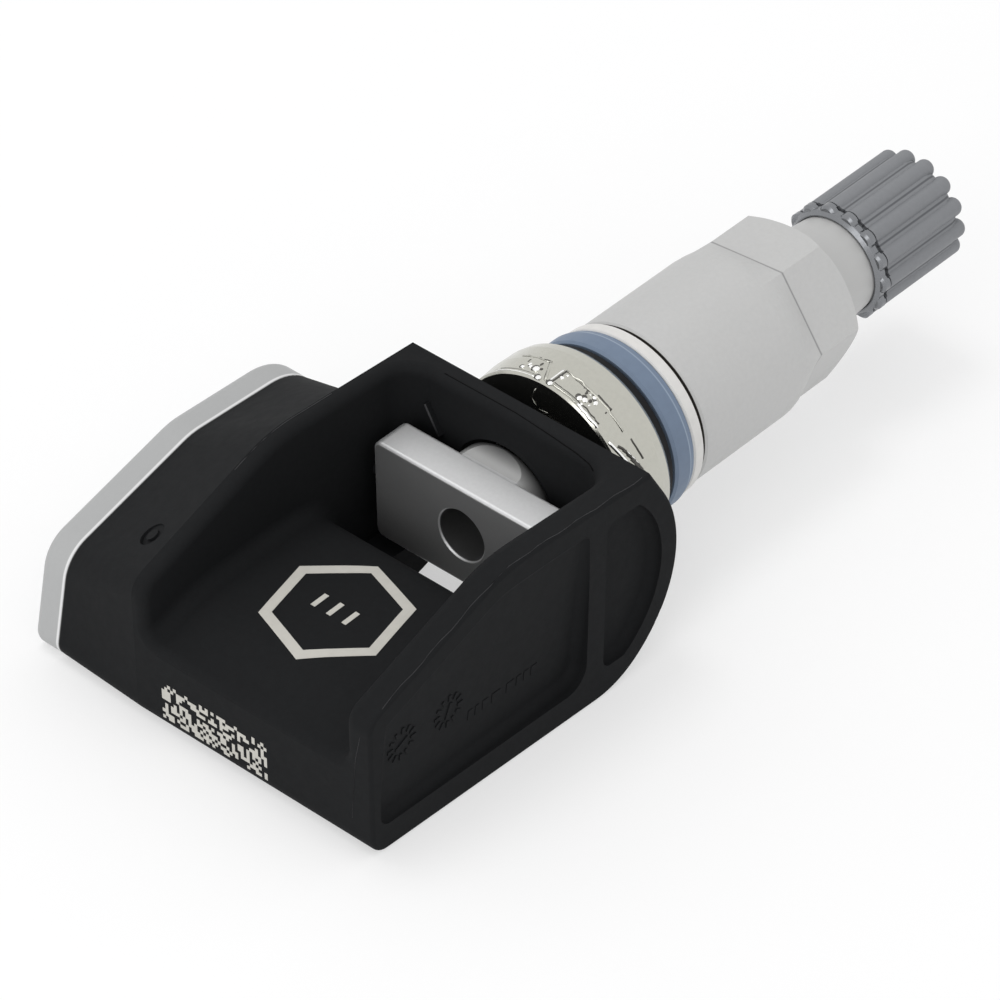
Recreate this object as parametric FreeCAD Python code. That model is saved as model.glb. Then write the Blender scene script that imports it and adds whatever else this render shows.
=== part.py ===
import FreeCAD, Part
import math
import os

os.makedirs("parts", exist_ok=True)

# Tyre pressure sensor, all lengths in mm.
# Sketch axes: x along the valve toward its cap, y across, z up, 0 on the foot's pivot.

# Valve pose
valve_tilt = 2.5
seat_x = 13.46

# Foot's size and its room in the pocket
foot_half_t = 1.6
foot_half_w = 8.5
foot_near_gap = 1.4
foot_far_gap = 1.0
cheek_near_t = 2.45
cheek_far_t = 1.15
wing_reach = 8.35

# Housing outline
base_z = -9.6
nose_cx = -2.1
nose_r = 10.1
crest_drop = 1.75
crest_slope_drop = 0.3
crest_back_in = 3.25
pocket_near_y = -foot_half_w - foot_near_gap
pocket_far_y = foot_half_w + foot_far_gap
near_y = pocket_near_y - cheek_near_t
far_y = pocket_far_y + cheek_far_t
wing_y = far_y + wing_reach
cover_t = 2.6
front_low_x = -24.0
front_top_x = -24.5
front_top_z = 2.68
crest_front_x = -10.5
crest_z = nose_r - crest_drop
crest_back_x = nose_cx + nose_r - crest_back_in
crest_back_z = crest_z - crest_slope_drop

# Side wing, from its root on the block to its outline at the cover
root_cx = -6.2
root_r = crest_z
wing_cx = -1.3
wing_top_z = 3.3
wing_r = 5.35
wing_front_x = -22.4

# Pocket
pocket_back_x = 2.9
pocket_low_z = -6.3
lip_z = -2.1
mouth_r = 0.8
floor_r = 1.1
corner_r = 2.2
wall_rib_t = 0.35
wall_rib_y = 6.7
wall_rib_z = 4.2
window_x0 = -3.4
window_x1 = 5.2
window_half_y = 6.85
neck_slot_half = 4.95
neck_slot_top = 5.15

# Recesses of the near cheek
cheek_tilt = 5.0
cheek_soft_r = 0.7
nose_recess_t = 0.9
nose_recess_rim = 1.8
cheek_recess_x0 = front_top_x + 1.2
cheek_recess_x1 = -1.7
cheek_recess_z0 = base_z + 2.3

# Cavity for the electronics
wall_t = 1.4
cavity_front_x = front_top_x + 2.1
cavity_back_x = -5.6
cavity_near_y = -8.6
cavity_low_z = base_z + 1.3
cavity_top_z = lip_z - 1.85
vent_y = far_y + 4.8
vent_z = -2.6
vent_r = 0.7
membrane_r = 1.3
membrane_t = 0.2
mark_r = 1.05
mark_dot_r = 0.5
mark_depth = 0.2
mark_x = -19.97
mark_y = far_y + 2.3

# Foot and tube of the valve
foot_top_z = 3.95
foot_low_z = -4.88
foot_edge_r = 0.28
foot_corner_r = 0.7
neck_r = 4.7
neck_x1 = 3.2
neck_blend_x = foot_half_t + 0.1
neck_blend_r = 1.6
waist_r = 3.7
air_r = 2.15
air_z = -0.38
pin_clear = 0.06
stub_r = 0.7
stub_reach = 1.4

# Valve stack, stations along the tube
collar_x0 = 7.4
collar_x1 = 12.2
collar_r = 8.38
saddle_clear = 0.35
step_x = nose_cx + nose_r + saddle_clear + 0.5
seal_x1 = seat_x
ring_x1 = 15.75
washer_x1 = 16.92
sleeve_r = 5.65
nut_r = 7.05
ring_r = nut_r + 0.4
seal_r = ring_r + 0.05
washer_r = nut_r + 0.22
groove_r = nut_r - 0.75
nut_cyl_x1 = 27.9
nut_crease_x = 30.6
nut_x1 = 35.9
hex_af = 12.0
thread_r = 4.9
thread_clear = 0.05
bore_r = thread_r + 0.1
tube_r = 4.4
cap_x0 = 40.2
cap_x1 = 50.5
cap_r = 4.5
cap_rib_top = 4.88
cap_lip_w = 1.1
rib_r = 0.76
rib_nose_r = 0.6
cap_thread_r = 3.55
flutes = 14
hex_phase = 55.2
tube_end_x = cap_x1 - 2.4

# Valve core
core_x1 = tube_end_x - 1.1
core_x0 = core_x1 - 7.6
core_bore_r = 2.3
core_seat_r = 1.75
core_seat_t = 4.2
pin_r = 0.4
pin_end_x = core_x1 + 1.0
spring_r = 0.68

# Electronics
board_t = 0.8
board_z = cavity_top_z - 0.9
board_top = board_z + board_t
board_x1 = wing_cx - 0.3
row_y = far_y + 2.3
cell_r = 7.9
cell_x = -14.2
tab_t = 0.2
cell_z0 = cavity_low_z + tab_t
cell_z1 = board_z - tab_t
tab_inset = 0.6
tab_x0 = cell_x - cell_r + tab_inset
tab_x1 = cell_x + cell_r - tab_inset - 0.1
tab_half_w = 1.6
controller_l = 5.0
controller_w = 4.0
controller_x = cell_x - 5.4
crystal_l = 2.6
crystal_w = 2.4
crystal_x = cell_x + 6.8
coil_bar_r = 0.8
coil_x0 = -19.5
coil_x1 = wing_cx - 0.9
coil_y = far_y + 4.4
coil_z = -6.6

V = FreeCAD.Vector
seat = V(seat_x * math.cos(math.radians(valve_tilt)), 0, seat_x * math.sin(math.radians(valve_tilt)))
mark_lean = V(-0.41, 0.46, 0.79).normalize()


def chain(last, corners, final):
    """Lines and corner arcs from one point to another, past corners (x, z, radius)."""
    edges = []
    for i, (x, z, r) in enumerate(corners):
        p = V(x, 0, z)
        nxt = V(corners[i + 1][0], 0, corners[i + 1][1]) if i + 1 < len(corners) else final
        a = last.sub(p).normalize()
        b = nxt.sub(p).normalize()
        half = a.getAngle(b) / 2
        reach = r / math.tan(half)
        mid = p.add(a.add(b).normalize().multiply(r / math.sin(half) - r))
        start = p.add(V(a).multiply(reach))
        end = p.add(V(b).multiply(reach))
        edges.append(Part.LineSegment(last, start).toShape())
        edges.append(Part.Arc(start, mid, end).toShape())
        last = end
    edges.append(Part.LineSegment(last, final).toShape())
    return edges


def on_arc(cx, cz, r, degrees):
    a = math.radians(degrees)
    return V(cx + r * math.cos(a), 0, cz + r * math.sin(a))


def arc(cx, cz, r, a0, a1):
    middle = on_arc(cx, cz, r, (a0 + a1) / 2)
    return Part.Arc(on_arc(cx, cz, r, a0), middle, on_arc(cx, cz, r, a1)).toShape()


def rounded(points):
    """Closed wire in the xz plane from corners (x, z, radius)."""
    first = V((points[0][0] + points[-1][0]) / 2, 0, (points[0][1] + points[-1][1]) / 2)
    return Part.Wire(chain(first, points, first))


def at_y(wire, y):
    moved = wire.copy()
    moved.translate(V(0, y, 0))
    return moved


def slab(wire, y0, y1):
    return Part.Face(at_y(wire, y0)).extrude(V(0, y1 - y0, 0))


def box(x0, x1, y0, y1, z0, z1):
    return Part.makeBox(x1 - x0, y1 - y0, z1 - z0, V(x0, y0, z0))


def rod(r, x0, x1, y=0.0, z=0.0):
    return Part.makeCylinder(r, x1 - x0, V(x0, y, z), V(1, 0, 0))


def cross_rod(r, y0, y1, x=0.0, z=0.0):
    return Part.makeCylinder(r, y1 - y0, V(x, y0, z), V(0, 1, 0))


def turned(points):
    """Solid of revolution about the x axis from a closed outline of (x, r)."""
    pts = [V(x, 0, r) for x, r in points]
    face = Part.Face(Part.makePolygon(pts + [pts[0]]))
    return face.revolve(V(0, 0, 0), V(1, 0, 0), 360)


def soften(shape, radius, wanted):
    """Fillet the edges whose centre and bounds pass the test."""
    picked = [e for e in shape.Edges if wanted(e)]
    return shape.makeFillet(radius, picked) if picked else shape


def near(a, b, tol=0.02):
    return abs(a - b) < tol


def shared_edges(shape, skin_a, skin_b):
    """Edges of a shape whose middle lies on both skins."""
    picked = []
    for e in shape.Edges:
        middle = Part.Vertex(e.valueAt((e.FirstParameter + e.LastParameter) / 2))
        if middle.distToShape(skin_a)[0] < 0.001 and middle.distToShape(skin_b)[0] < 0.001:
            picked.append(e)
    return picked


def save(name, shape, moving):
    out = shape.copy()
    if moving:
        out.rotate(V(0, 0, 0), V(0, 1, 0), -valve_tilt)
    out.translate(V(0, 0, 0).sub(seat))
    out.exportStep("parts/" + name + ".step")


# Housing outline seen from the side: nose, bottom, front, ramp and crest.
def side_wire():
    back = V(crest_back_x, 0, crest_back_z)
    reach = math.hypot(back.x - nose_cx, back.z)
    top = math.degrees(math.atan2(back.z, back.x - nose_cx) - math.acos(nose_r / reach))
    turn = 55
    r = (-base_z - nose_r * math.sin(math.radians(turn))) / (1 - math.sin(math.radians(turn)))
    mid = on_arc(nose_cx, 0, nose_r - r, -turn)
    edges = [
        Part.LineSegment(back, on_arc(nose_cx, 0, nose_r, top)).toShape(),
        arc(nose_cx, 0, nose_r, top, -turn),
        arc(mid.x, mid.z, r, -turn, -90),
    ]
    corners = [
        (front_low_x, base_z, 1.5),
        (front_top_x, front_top_z, 1.8),
        (crest_front_x, crest_z, 12.0),
    ]
    return Part.Wire(edges + chain(V(mid.x, 0, base_z), corners, back))


def wing_section(cx, top_z, r, corners, y):
    """Closed wing outline at one y: rear arc, rear line, then the given front corners."""
    end = on_arc(cx, top_z - r, r, -35)
    low = V(end.x - 0.6 * (end.z - corners[0][1]), 0, corners[0][1])
    edges = [arc(cx, top_z - r, r, 90, -35), Part.LineSegment(end, low).toShape()]
    edges += chain(low, corners, on_arc(cx, top_z - r, r, 90))
    return at_y(Part.Wire(edges), y)


def root_wire(grow, y):
    corners = [
        (front_low_x - grow, base_z - grow, 1.5),
        (front_top_x - grow, front_top_z + grow * 0.7, 1.8),
        (crest_front_x, crest_z + grow, 12.0),
    ]
    return wing_section(root_cx, crest_z - 0.1 + grow, root_r + grow, corners, y)


def wing_wire(grow, y):
    corners = [
        (wing_front_x - 1.5 - grow, base_z - grow, 1.5),
        (wing_front_x - grow, -0.75 + grow * 0.7, 3.2),
        (-9.6, wing_top_z + grow, 6.0),
    ]
    return wing_section(wing_cx, wing_top_z + grow, wing_r + grow, corners, y)


def wing_plate(grow, y0, y1):
    """Constant section of the wing's outer outline."""
    return Part.Face(wing_wire(grow, y0)).extrude(V(0, y1 - y0, 0))


def wing_body(grow, y0):
    return Part.makeLoft([root_wire(grow, y0), wing_wire(grow, wing_y)], True, True)


def pocket_cutter():
    """Open pocket: soft floor that falls away under the foot, rounded corners."""
    floor = [
        (front_top_x - 0.6, lip_z - 0.02), (front_top_x + 1.0, lip_z + 0.1), (-20.6, -0.95), (-16.5, -0.3),
        (-12.0, -0.02), (-8.6, -0.02), (-7.0, -0.45), (-5.8, -1.6), (-4.95, -3.3), (-4.55, pocket_low_z),
    ]
    pts = [V(x, 0, z) for x, z in floor]
    curve = Part.BSplineCurve()
    curve.interpolate(pts)
    rim = [pts[-1], V(pocket_back_x, 0, pocket_low_z), V(pocket_back_x, 0, 14), V(-32, 0, 14)]
    rim += [V(-32, 0, pts[0].z), pts[0]]
    edges = [curve.toShape()]
    edges += [Part.LineSegment(rim[i], rim[i + 1]).toShape() for i in range(len(rim) - 1)]
    tool = slab(Part.Wire(edges), pocket_near_y, pocket_far_y)
    tool = soften(tool, corner_r, lambda e: near(e.CenterOfMass.x, pocket_back_x)
                  and e.BoundBox.ZLength > 10 and e.BoundBox.YLength < 0.1)
    for y, r in ((pocket_far_y, floor_r), (pocket_near_y, floor_r)):
        tool = soften(tool, r, lambda e: e.BoundBox.XLength > 15 and near(e.CenterOfMass.y, y)
                      and -4 < e.BoundBox.ZMax < 1)
    return tool


def cheek_recess():
    """Tilted recess on the near cheek, deepest low down beside the rib."""
    outline = rounded([
        (cheek_recess_x0, cheek_recess_z0, 1.0), (cheek_recess_x0, front_top_z - 0.7, 0.8),
        (crest_front_x - 0.7, crest_z - 1.55, 6.0), (cheek_recess_x1, crest_z - 1.85, 0.8),
        (cheek_recess_x1, cheek_recess_z0, 2.0),
    ])
    tool = slab(outline, near_y - 1, near_y + 1.5)
    tilt = Part.makeBox(60, 6, 60, V(-40, 0, -40))
    tilt.rotate(V(-11.2, 0, 6.6), V(1, 0, 0.4), cheek_tilt)
    tilt.translate(V(0, near_y, 0))
    tool = tool.cut(tilt)
    return soften(tool, cheek_soft_r, lambda e: e.BoundBox.YMin > near_y + 0.45)


def nose_recess():
    """D-shaped recess whose curve follows the nose."""
    floor_y = near_y + nose_recess_t
    disc = cross_rod(nose_r - nose_recess_rim, near_y - 1, floor_y, nose_cx, 0)
    tool = disc.common(box(cheek_recess_x1 + 1.8, 12, near_y - 2, near_y + 2, cheek_recess_z0 + 0.3, crest_z - 2.25))
    tool = soften(tool, 0.8, lambda e: e.BoundBox.YLength > 1.5 and e.BoundBox.XLength < 0.1)
    return soften(tool, cheek_soft_r, lambda e: near(e.BoundBox.YMin, floor_y))


def moulding_mark(body):
    """Shallow ring-shaped mark pressed square into the wing's ramp."""
    top = Part.makeLine(V(mark_x, mark_y, 0), V(mark_x, mark_y, 30)).common(body)
    point = max((v.Point for v in top.Vertexes), key=lambda q: q.z)
    low = point.sub(V(mark_lean).multiply(mark_depth))
    ring = Part.makeCylinder(mark_r, 2.0, low, mark_lean)
    return ring.cut(Part.makeCylinder(mark_dot_r, 2.0, low, mark_lean))


def housing():
    side = side_wire()
    body = slab(side, near_y, far_y)
    body = soften(body, 0.3, lambda e: near(e.CenterOfMass.y, near_y))
    pocket = pocket_cutter()
    block = body
    body = block.cut(pocket)
    body = body.makeFillet(mouth_r, shared_edges(body, block.Shells[0], pocket.Shells[0]))
    body = body.fuse(wing_body(0, far_y))
    body = body.cut(moulding_mark(body))
    body = body.cut(cheek_recess())
    body = body.cut(nose_recess())
    # Window under the foot and the slot that lets the neck swing
    body = body.cut(box(window_x0, window_x1, -window_half_y, window_half_y, -14, pocket_low_z + 0.01))
    slot_z = neck_slot_top - neck_slot_half
    body = body.cut(box(2.0, 12, -neck_slot_half, neck_slot_half, -14, slot_z))
    body = body.cut(rod(neck_slot_half, 2.0, 12, 0, slot_z))
    # Pivot stubs and the small rib on the back wall
    stub_y = foot_half_w - stub_reach
    body = body.fuse(cross_rod(stub_r, stub_y, pocket_far_y + 0.2))
    body = body.fuse(cross_rod(stub_r, pocket_near_y - 0.2, -stub_y))
    rib = box(pocket_back_x - wall_rib_t, pocket_back_x + 0.2, -0.2, 0.2, -1.3, 1.3)
    rib.rotate(V(0, 0, 0), V(1, 0, 0), -32)
    rib.translate(V(0, wall_rib_y, wall_rib_z))
    body = body.fuse(rib)
    # Electronics bay under the floor and in the wing
    bay_y = far_y + 0.6
    body = body.cut(box(cavity_front_x, cavity_back_x, cavity_near_y, bay_y + 0.4, cavity_low_z, cavity_top_z))
    body = body.cut(wing_body(-wall_t, bay_y))
    body = body.cut(wing_plate(-wall_t, wing_y - 0.01, wing_y + 1))
    body = body.cut(wing_plate(-0.6, wing_y - 0.4, wing_y + 1))
    body = body.cut(rod(vent_r, 0.0, 8.0, vent_y, vent_z))
    return body.removeSplitter()


def side_cover():
    plate = wing_plate(0, wing_y, wing_y + cover_t)
    plate = soften(plate, 0.6, lambda e: near(e.CenterOfMass.y, wing_y + cover_t))
    plate = soften(plate, 0.2, lambda e: near(e.CenterOfMass.y, wing_y))
    plug = wing_plate(-wall_t - 0.45, wing_y - 0.8, wing_y + 0.5)
    well = wing_plate(-wall_t - 1.35, wing_y - 0.9, wing_y + 0.5)
    return plate.fuse(plug.cut(well)).removeSplitter()


def cover_gasket():
    ring = wing_plate(-0.62, wing_y - 0.4, wing_y)
    return ring.cut(wing_plate(-wall_t + 0.02, wing_y - 0.6, wing_y + 0.2))


def vent_membrane():
    """Thin round patch that follows the wall inside the vent."""
    sheet = wing_body(-wall_t - 0.01, far_y + 0.7)
    sheet = sheet.cut(wing_body(-wall_t - 0.01 - membrane_t, far_y + 0.6))
    return sheet.common(rod(membrane_r, -3.0, 8.0, vent_y, vent_z))


def circuit_board():
    top = board_z + board_t
    low = box(cavity_front_x + 0.2, cavity_back_x - 0.4, cavity_near_y + 0.2, far_y + 0.9, board_z, top)
    wing = box(cavity_front_x + 1.6, board_x1, far_y + 0.8, wing_y - 1.5, board_z, top)
    return low.fuse(wing).removeSplitter()


def cell_disc(r, z0, z1):
    disc = Part.makeCylinder(r, z1 - z0, V(cell_x, 0, z0))
    return disc.makeChamfer(0.25, [e for e in disc.Edges if e.BoundBox.ZLength < 0.01])


def battery_tab(z0, z1):
    return box(tab_x0, tab_x1, -tab_half_w, tab_half_w, z0, z1)


def chip(x, y, length, width, height):
    """Chamfered block standing on the board, from its low corner."""
    body = box(x, x + length, y, y + width, board_top, board_top + height)
    return body.makeChamfer(0.12, [e for e in body.Edges if near(e.CenterOfMass.z, board_top + height)])


def pressure_chip():
    x = cell_x + 1.8
    size = 4.2
    body = chip(x, row_y, size, size, 1.2)
    middle = V(x + size / 2, row_y + size / 2, board_top + 1.1)
    body = body.fuse(Part.makeCylinder(0.75, 0.4, middle))
    return body.cut(Part.makeCylinder(0.35, 2.0, middle.sub(V(0, 0, 0.3))))


def capacitor_row():
    pitch = 0.95
    count = 3
    x0 = board_x1 - pitch * count
    blocks = [box(x0, x0 + pitch * (count - 1) + 0.5, row_y + 1.2, row_y + 2.1, board_top, board_top + 0.12)]
    for i in range(count):
        x = x0 + pitch * i
        for y in (row_y + 0.3, row_y + 2.0):
            blocks.append(box(x, x + 0.5, y, y + 1.0, board_top, board_top + 0.5))
    row = blocks[0]
    for block in blocks[1:]:
        row = row.fuse(block)
    return row.removeSplitter()


def antenna_coil():
    """Tight winding shown as one ridged sleeve."""
    x = coil_x0 + 2.0
    turns = 6
    pitch = (coil_x1 - coil_x0 - 4.0) / turns
    inner = coil_bar_r + 0.02
    points = [(x, inner), (x, coil_bar_r + 0.3)]
    for i in range(turns):
        points.append((x + pitch * (i + 0.5), coil_bar_r + 0.5))
        points.append((x + pitch * (i + 1), coil_bar_r + 0.3))
    points.append((x + pitch * turns, inner))
    sleeve = turned(points)
    sleeve.translate(V(0, coil_y, coil_z))
    return sleeve


def valve_stem():
    """Cross foot with a flush neck, a waist behind it, then the threaded tube."""
    foot = box(-foot_half_t, foot_half_t, -foot_half_w, foot_half_w, foot_low_z, foot_top_z)
    foot = soften(foot, foot_corner_r, lambda e: near(abs(e.CenterOfMass.y), foot_half_w)
                  and near(e.CenterOfMass.x, 0))
    foot = soften(foot, foot_edge_r, lambda e: e.BoundBox.XLength < 0.05 and abs(e.CenterOfMass.x) > 1)
    neck = turned([
        (foot_half_t - 0.4, 0), (foot_half_t - 0.4, neck_r), (neck_x1, neck_r),
        (neck_x1 + 1.1, waist_r), (neck_x1 + 1.1, 0),
    ])
    # The neck's top runs flush out of the foot and curves up to its full round
    blend_z = foot_top_z - 0.01
    neck = neck.cut(box(-1, neck_blend_x, -9, 9, blend_z, 12))
    neck = neck.cut(cross_rod(neck_blend_r, -9, 9, neck_blend_x, blend_z + neck_blend_r))
    tube = turned([
        (neck_x1 + 0.9, 0), (neck_x1 + 0.9, waist_r), (step_x, waist_r), (step_x, thread_r),
        (nut_x1 - 1.2, thread_r), (nut_x1 - 0.8, tube_r),
        (cap_x0 + 0.3, tube_r - 0.4), (cap_x0 + 1.4, cap_thread_r), (tube_end_x - 0.5, cap_thread_r),
        (tube_end_x, cap_thread_r - 0.5), (tube_end_x, 0),
    ])
    stem = foot.fuse(neck).fuse(tube)
    mouth = rod(air_r, -3, 5.0, 0, air_z)
    mouth = mouth.fuse(Part.makeCone(air_r + 0.15, air_r, 0.15, V(-foot_half_t, 0, air_z), V(1, 0, 0)))
    stem = stem.cut(mouth)
    stem = stem.cut(rod(1.3, 4.0, core_x0 + 1))
    stem = stem.cut(turned([
        (core_x0, 0), (core_x0, core_seat_r), (core_x0 + core_seat_t, core_bore_r),
        (tube_end_x + 1, core_bore_r), (tube_end_x + 1, 0),
    ]))
    hole_y = foot_half_w - stub_reach - 0.1
    for y0, y1 in ((-foot_half_w - 1, -hole_y), (hole_y, foot_half_w + 1)):
        stem = stem.cut(cross_rod(stub_r + pin_clear, y0, y1))
    return stem.removeSplitter()


def collar():
    """Cast ring with a flat face toward the housing, hollowed across for the nose."""
    x0 = collar_x0
    bore_x = step_x - 0.02
    points = [
        (x0, waist_r + 0.08), (x0, collar_r - 0.3), (x0 + 0.15, collar_r - 0.14), (x0 + 1.9, collar_r),
        (collar_x1 - 1.1, collar_r - 0.04), (collar_x1 - 0.3, collar_r - 0.2), (collar_x1, collar_r - 0.42),
        (collar_x1, bore_r), (bore_x, bore_r), (bore_x, waist_r + 0.08),
    ]
    saddle = cross_rod(nose_r + saddle_clear, -collar_r - 1, collar_r + 1, nose_cx, 0)
    return turned(points).cut(saddle)


def rim_seal():
    lip_x = washer_x1 - 1.4
    points = [
        (collar_x1 + 0.02, bore_r), (collar_x1 + 0.02, seal_r - 0.4), (collar_x1 + 0.3, seal_r),
        (seal_x1 - 0.25, seal_r - 0.15), (seal_x1, seal_r - 0.5), (seal_x1, sleeve_r),
        (lip_x - 0.2, sleeve_r), (lip_x, sleeve_r - 0.2), (lip_x, bore_r),
    ]
    return turned(points)


def spacer_ring():
    inner = sleeve_r + 0.02
    points = [
        (seal_x1 + 0.02, inner), (seal_x1 + 0.02, ring_r - 0.12), (seal_x1 + 0.3, ring_r),
        (ring_x1 - 0.7, ring_r), (ring_x1 - 0.12, ring_r - 0.18), (ring_x1, ring_r - 0.35),
        (ring_x1, inner),
    ]
    return turned(points)


def thrust_washer():
    points = [
        (ring_x1 + 0.02, bore_r), (ring_x1 + 0.02, washer_r - 0.12), (ring_x1 + 0.15, washer_r),
        (washer_x1 - 0.15, washer_r - 0.04), (washer_x1, washer_r - 0.2), (washer_x1, bore_r),
    ]
    return turned(points)


def valve_nut():
    """Cylinder that blends through a convex shoulder into a chamfered hexagon."""
    x0 = washer_x1 + 0.02
    barrel = turned([
        (x0, 0), (x0, groove_r), (x0 + 0.32, groove_r), (x0 + 0.36, nut_r - 0.15),
        (x0 + 0.55, nut_r), (nut_cyl_x1, nut_r), (nut_cyl_x1, 0),
    ])
    corner = hex_af / math.sqrt(3)
    rings = 6
    wires = []
    for i in range(rings + 1):
        t = i / rings
        x = nut_cyl_x1 + (nut_crease_x - nut_cyl_x1) * t
        blend = 1 - math.cos(math.radians(90 * t))
        pts = []
        for k in range(48):
            ang = math.radians(hex_phase + k * 7.5)
            local = math.radians((k * 7.5 + 30) % 60 - 30)
            flat = (hex_af / 2) / math.cos(math.radians(30) - abs(local))
            r = nut_r + (min(flat, nut_r) - nut_r) * blend
            pts.append(V(x, r * math.cos(ang), r * math.sin(ang)))
        wires.append(Part.makePolygon(pts + [pts[0]]))
    shape = barrel.fuse(Part.makeLoft(wires, True, True))
    hexagon = []
    for k in range(7):
        ang = math.radians(hex_phase + 60 * k)
        hexagon.append(V(nut_crease_x, corner * math.cos(ang), corner * math.sin(ang)))
    prism = Part.Face(Part.makePolygon(hexagon)).extrude(V(nut_x1 - nut_crease_x, 0, 0))
    dome = turned([
        (nut_crease_x - 1, 0), (nut_crease_x - 1, nut_r + 2), (nut_x1 - 1.6, nut_r + 0.55),
        (nut_x1 - 0.5, nut_r - 0.7), (nut_x1, nut_r - 1.45), (nut_x1, 0),
    ])
    shape = shape.fuse(prism.common(dome))
    return shape.cut(rod(thread_r + thread_clear, 0, 60)).removeSplitter()


def valve_cap():
    """Hollow cap: broad ribs with bull-nosed far ends that start as tabs on a ring with pits between."""
    lip_x1 = cap_x0 + cap_lip_w
    outer = turned([
        (cap_x0, 0), (cap_x0, cap_r - 0.3), (cap_x0 + 0.3, cap_r), (cap_x1 - 1.4, cap_r),
        (cap_x1 - 0.8, cap_r - 0.15), (cap_x1 - 0.4, cap_r - 0.5), (cap_x1 - 0.15, cap_r - 1.1),
        (cap_x1 - 0.1, cap_r - 1.8), (cap_x1 - 0.1, 0),
    ])
    step = 360 / flutes
    centre_r = cap_rib_top - rib_r
    for k in range(flutes):
        rib = rod(rib_r, lip_x1, cap_x1, centre_r)
        rib = rib.makeFillet(rib_nose_r, [e for e in rib.Edges if near(e.CenterOfMass.x, cap_x1)])
        tab = rod(rib_r + 0.04, cap_x0 + 0.25, lip_x1 + 0.05, centre_r)
        tab = tab.makeChamfer(0.2, [e for e in tab.Edges if e.BoundBox.XLength < 0.01])
        rib = rib.fuse(tab)
        rib.rotate(V(0, 0, 0), V(1, 0, 0), step * k)
        outer = outer.fuse(rib)
    for k in range(flutes):
        pit = box(lip_x1 - 0.25, lip_x1 + 0.12, cap_r - 0.28, cap_r + 2, -0.5, 0.5)
        pit.rotate(V(0, 0, 0), V(1, 0, 0), step * (k + 0.5))
        outer = outer.cut(pit)
    room_r = cap_thread_r + thread_clear
    hollow = turned([
        (cap_x0 - 1, 0), (cap_x0 - 1, cap_r - 0.4), (cap_x0 + 0.1, cap_r - 0.4), (cap_x0 + 1.5, room_r),
        (cap_x1 - 1.5, room_r), (cap_x1 - 1.5, 0),
    ])
    return outer.cut(hollow).removeSplitter()


def core_body():
    """Screwed-in core: a head, a barrel, a spring room and a guide hole for the pin."""
    barrel_r = core_seat_r - 0.25
    head_r = core_bore_r - 0.06
    outer = turned([
        (core_x0 + 0.4, 0), (core_x0 + 0.4, barrel_r - 0.15), (core_x0 + 0.6, barrel_r),
        (core_x0 + 4.3, barrel_r), (core_x0 + 4.5, head_r), (core_x1 - 0.3, head_r),
        (core_x1, head_r - 0.3), (core_x1, 0),
    ])
    room = rod(spring_r + 0.27, core_x0 + 1.0, core_x1 - 1.0)
    return outer.cut(room).cut(rod(pin_r + pin_clear, core_x0, core_x1 + 1))


def core_gasket():
    near_t, far_t = 1.2, 3.4
    slope = (core_bore_r - core_seat_r) / core_seat_t
    outer_r = core_seat_r - 0.02
    inner_r = core_seat_r - 0.23
    points = [
        (core_x0 + near_t, inner_r), (core_x0 + near_t, outer_r + slope * near_t),
        (core_x0 + far_t, outer_r + slope * far_t), (core_x0 + far_t, inner_r),
    ]
    return turned(points)


def core_pin():
    shaft = rod(pin_r, core_x0 - 1.2, pin_end_x)
    shaft = shaft.makeChamfer(0.12, [e for e in shaft.Edges if near(e.CenterOfMass.x, pin_end_x)])
    return shaft.fuse(rod(pin_r + 0.4, core_x0 + 5.0, core_x0 + 5.4)).removeSplitter()


def core_cup():
    points = [
        (core_x0 - 0.7, pin_r), (core_x0 - 0.8, 0.8), (core_x0 - 0.4, 1.08), (core_x0 + 0.3, 1.1),
        (core_x0 + 0.38, 0.9), (core_x0 + 0.38, pin_r),
    ]
    return turned(points)


def core_spring():
    """Coil at its pressed length, between the barrel's shoulder and the pin's collar."""
    turns = 4
    wire = 0.22
    x0 = core_x0 + 1.0 + wire / 2 + 0.02
    pitch = (core_x0 + 5.0 - wire / 2 - 0.02 - x0) / turns
    helix = Part.makeHelix(pitch, pitch * turns, spring_r)
    corners = []
    for k in range(7):
        a = math.radians(60 * k)
        corners.append(V(spring_r + wire / 2 * math.cos(a), 0, wire / 2 * math.sin(a)))
    coil = Part.Wire(helix).makePipeShell([Part.makePolygon(corners)], True, True)
    coil.rotate(V(0, 0, 0), V(0, 1, 0), 90)
    coil.translate(V(x0, 0, 0))
    return coil


parts = {}
parts["housing"] = housing(), False
parts["side_cover"] = side_cover(), False
parts["cover_gasket"] = cover_gasket(), False
parts["vent_membrane"] = vent_membrane(), False
parts["circuit_board"] = circuit_board(), False
parts["battery_cell"] = cell_disc(cell_r, cell_z0, cell_z1), False
parts["battery_tab_upper"] = battery_tab(cell_z1, board_z), False
parts["battery_tab_lower"] = battery_tab(cavity_low_z, cell_z0), False
parts["controller_chip"] = chip(controller_x, row_y, controller_l, controller_w, 0.9), False
parts["pressure_chip"] = pressure_chip(), False
parts["crystal"] = chip(crystal_x, row_y + 1.0, crystal_l, crystal_w, 0.7), False
parts["capacitor_row"] = capacitor_row(), False
parts["antenna_core"] = rod(coil_bar_r, coil_x0, coil_x1, coil_y, coil_z), False
parts["antenna_coil"] = antenna_coil(), False
parts["valve_stem"] = valve_stem(), True
parts["collar"] = collar(), True
parts["rim_seal"] = rim_seal(), True
parts["spacer_ring"] = spacer_ring(), True
parts["thrust_washer"] = thrust_washer(), True
parts["valve_nut"] = valve_nut(), True
parts["valve_cap"] = valve_cap(), True
parts["core_body"] = core_body(), True
parts["core_gasket"] = core_gasket(), True
parts["core_pin"] = core_pin(), True
parts["core_cup"] = core_cup(), True
parts["core_spring"] = core_spring(), True
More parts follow.
